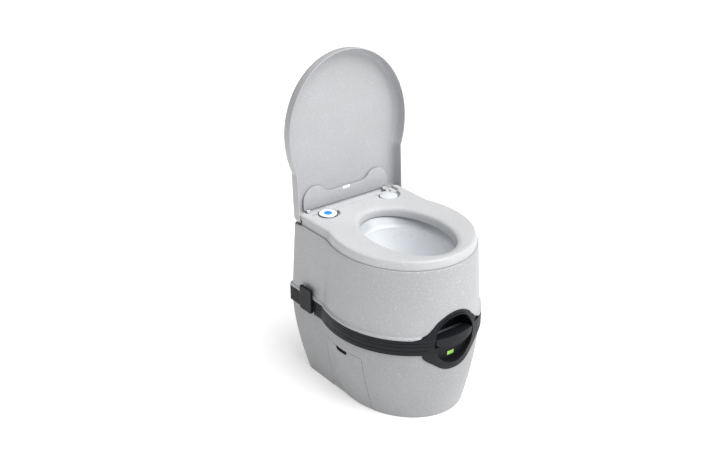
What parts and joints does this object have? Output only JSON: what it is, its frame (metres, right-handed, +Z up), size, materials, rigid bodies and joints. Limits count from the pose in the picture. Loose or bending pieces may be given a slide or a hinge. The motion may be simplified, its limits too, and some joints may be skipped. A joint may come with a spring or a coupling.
{
  "type": "portable camp toilet",
  "caption": "Portable camp toilet: waste tank with slide valve, latched flush-water tank with bowl, hinged seat and lid, control flap, flush button, filler cap, pouring spout.",
  "frame": {"origin": "on the floor, in the middle of the tanks' trim ring", "axes": "+Z up, -Y towards the front with the valve handle, +X to the right of someone looking at the front"},
  "size_m": [0.388, 0.4642, 0.8335],
  "materials": {
    "shell": "light grey speckled moulded plastic, satin",
    "bowl": "smooth light grey plastic",
    "trim": "dark blue-grey plastic, satin",
    "inner": "plain mid-grey plastic",
    "rubber": "black rubber",
    "steel": "drawn steel",
    "button": "white glossy plastic",
    "dot": "blue insert",
    "bezel": "chromed ring",
    "window": "clear green-tinted window",
    "indicator": "green indicator",
    "cap": "light grey plastic"
  },
  "bodies": {
    "base": {"waste_tank": "shell", "lower_trim": "trim", "level_window": "window", "rod_gland": "rubber", "valve_body": "inner", "blade_seal": "rubber", "lip_seal": "rubber", "spout_neck": "inner", "vent_body": "inner", "vent_spring": "steel", "roll_spindle": "trim", "door_pins": "steel", "latch_pins": "steel", "float_bracket": "inner", "spout_seal": "rubber"},
    "slide_valve": {"valve_blade": "inner", "valve_rod": "steel", "valve_handle": "trim"},
    "vent": {"vent_button": "indicator"},
    "spout": {"spout_elbow": "shell"},
    "spout_lid": {"spout_cap": "trim", "cap_gasket": "rubber"},
    "left_latch": {"latch_left": "trim"},
    "right_latch": {"latch_right": "trim"},
    "paper_door": {"roll_door": "shell"},
    "level_float": {"level_indicator": "indicator", "float_arm": "steel", "float_ball": "inner"},
    "upper": {"flush_tank": "shell", "upper_trim": "trim", "bowl": "bowl", "outlet_gasket": "rubber", "control_deck": "shell", "hinge_pins": "steel", "button_bezel": "bezel", "button_spring": "steel", "fill_neck": "inner", "pump": "inner", "pump_strainer": "inner", "pump_hose": "rubber", "flush_nozzle": "inner", "battery_box": "inner", "battery_cells": "steel"},
    "button": {"flush_button": "button", "button_dot": "dot"},
    "filler": {"fill_cap": "cap", "fill_cap_seal": "rubber"},
    "seat": {"seat": "shell", "seat_bumpers": "rubber"},
    "lid": {"lid": "shell"},
    "flap": {"service_flap": "shell"}
  },
  "joints": [
    {"name": "tank_lift", "type": "slide", "parent": "base", "child": "upper", "axis": [0, 0, 1], "range_m": [0, 0.08]},
    {"name": "seat_tilt", "type": "hinge", "parent": "upper", "child": "seat", "pos_m": [0, 0.1965, 0.4275], "axis": [-1, 0, 0], "range_deg": [0, 86]},
    {"name": "lid_tilt", "type": "hinge", "parent": "upper", "child": "lid", "pos_m": [0, 0.1965, 0.4275], "axis": [-1, 0, 0], "range_deg": [-93, 0]},
    {"name": "flap_tilt", "type": "hinge", "parent": "upper", "child": "flap", "pos_m": [0, 0.1965, 0.4275], "axis": [-1, 0, 0], "range_deg": [-93, 0]},
    {"name": "flush_press", "type": "slide", "parent": "upper", "child": "button", "axis": [0, 0, -1], "range_m": [0, 0.003], "stiffness_N_per_m": 500, "springref_m": -0.002, "deforming": ["button_spring"]},
    {"name": "fill_cap_turn", "type": "hinge", "parent": "upper", "child": "filler", "pos_m": [0.1, 0.162, 0.43], "axis": [0, 0, 1], "range_deg": [0, 90]},
    {"name": "valve_pull", "type": "slide", "parent": "base", "child": "slide_valve", "axis": [0, -1, 0], "range_m": [0, 0.098]},
    {"name": "vent_press", "type": "slide", "parent": "base", "child": "vent", "axis": [0, -1, 0], "range_m": [0, 0.003], "stiffness_N_per_m": 400, "springref_m": -0.002, "deforming": ["vent_spring"]},
    {"name": "spout_swivel", "type": "hinge", "parent": "base", "child": "spout", "pos_m": [0.118, 0.187, 0.17], "axis": [0, 0, -1], "range_deg": [0, 90]},
    {"name": "spout_cap_turn", "type": "hinge", "parent": "spout", "child": "spout_lid", "pos_m": [-0.018, 0.187, 0.17], "axis": [-1, 0, 0], "range_deg": [0, 120]},
    {"name": "left_latch_swing", "type": "hinge", "parent": "base", "child": "left_latch", "pos_m": [-0.1775, 0.138, 0.208], "axis": [0, -1, 0], "range_deg": [0, 55]},
    {"name": "right_latch_swing", "type": "hinge", "parent": "base", "child": "right_latch", "pos_m": [0.1775, 0.138, 0.208], "axis": [0, 1, 0], "range_deg": [0, 55]},
    {"name": "paper_door_swing", "type": "hinge", "parent": "base", "child": "paper_door", "pos_m": [-0.1435, -0.006, 0.016], "axis": [0, -1, 0], "range_deg": [0, 60]},
    {"name": "level_float_swing", "type": "hinge", "parent": "base", "child": "level_float", "pos_m": [0, -0.186, 0.178], "axis": [1, 0, 0], "range_deg": [0, 38]}
  ],
  "couplings": [
    {"joint": "flap_tilt", "follows": "lid_tilt", "ratio": 1}
  ]
}
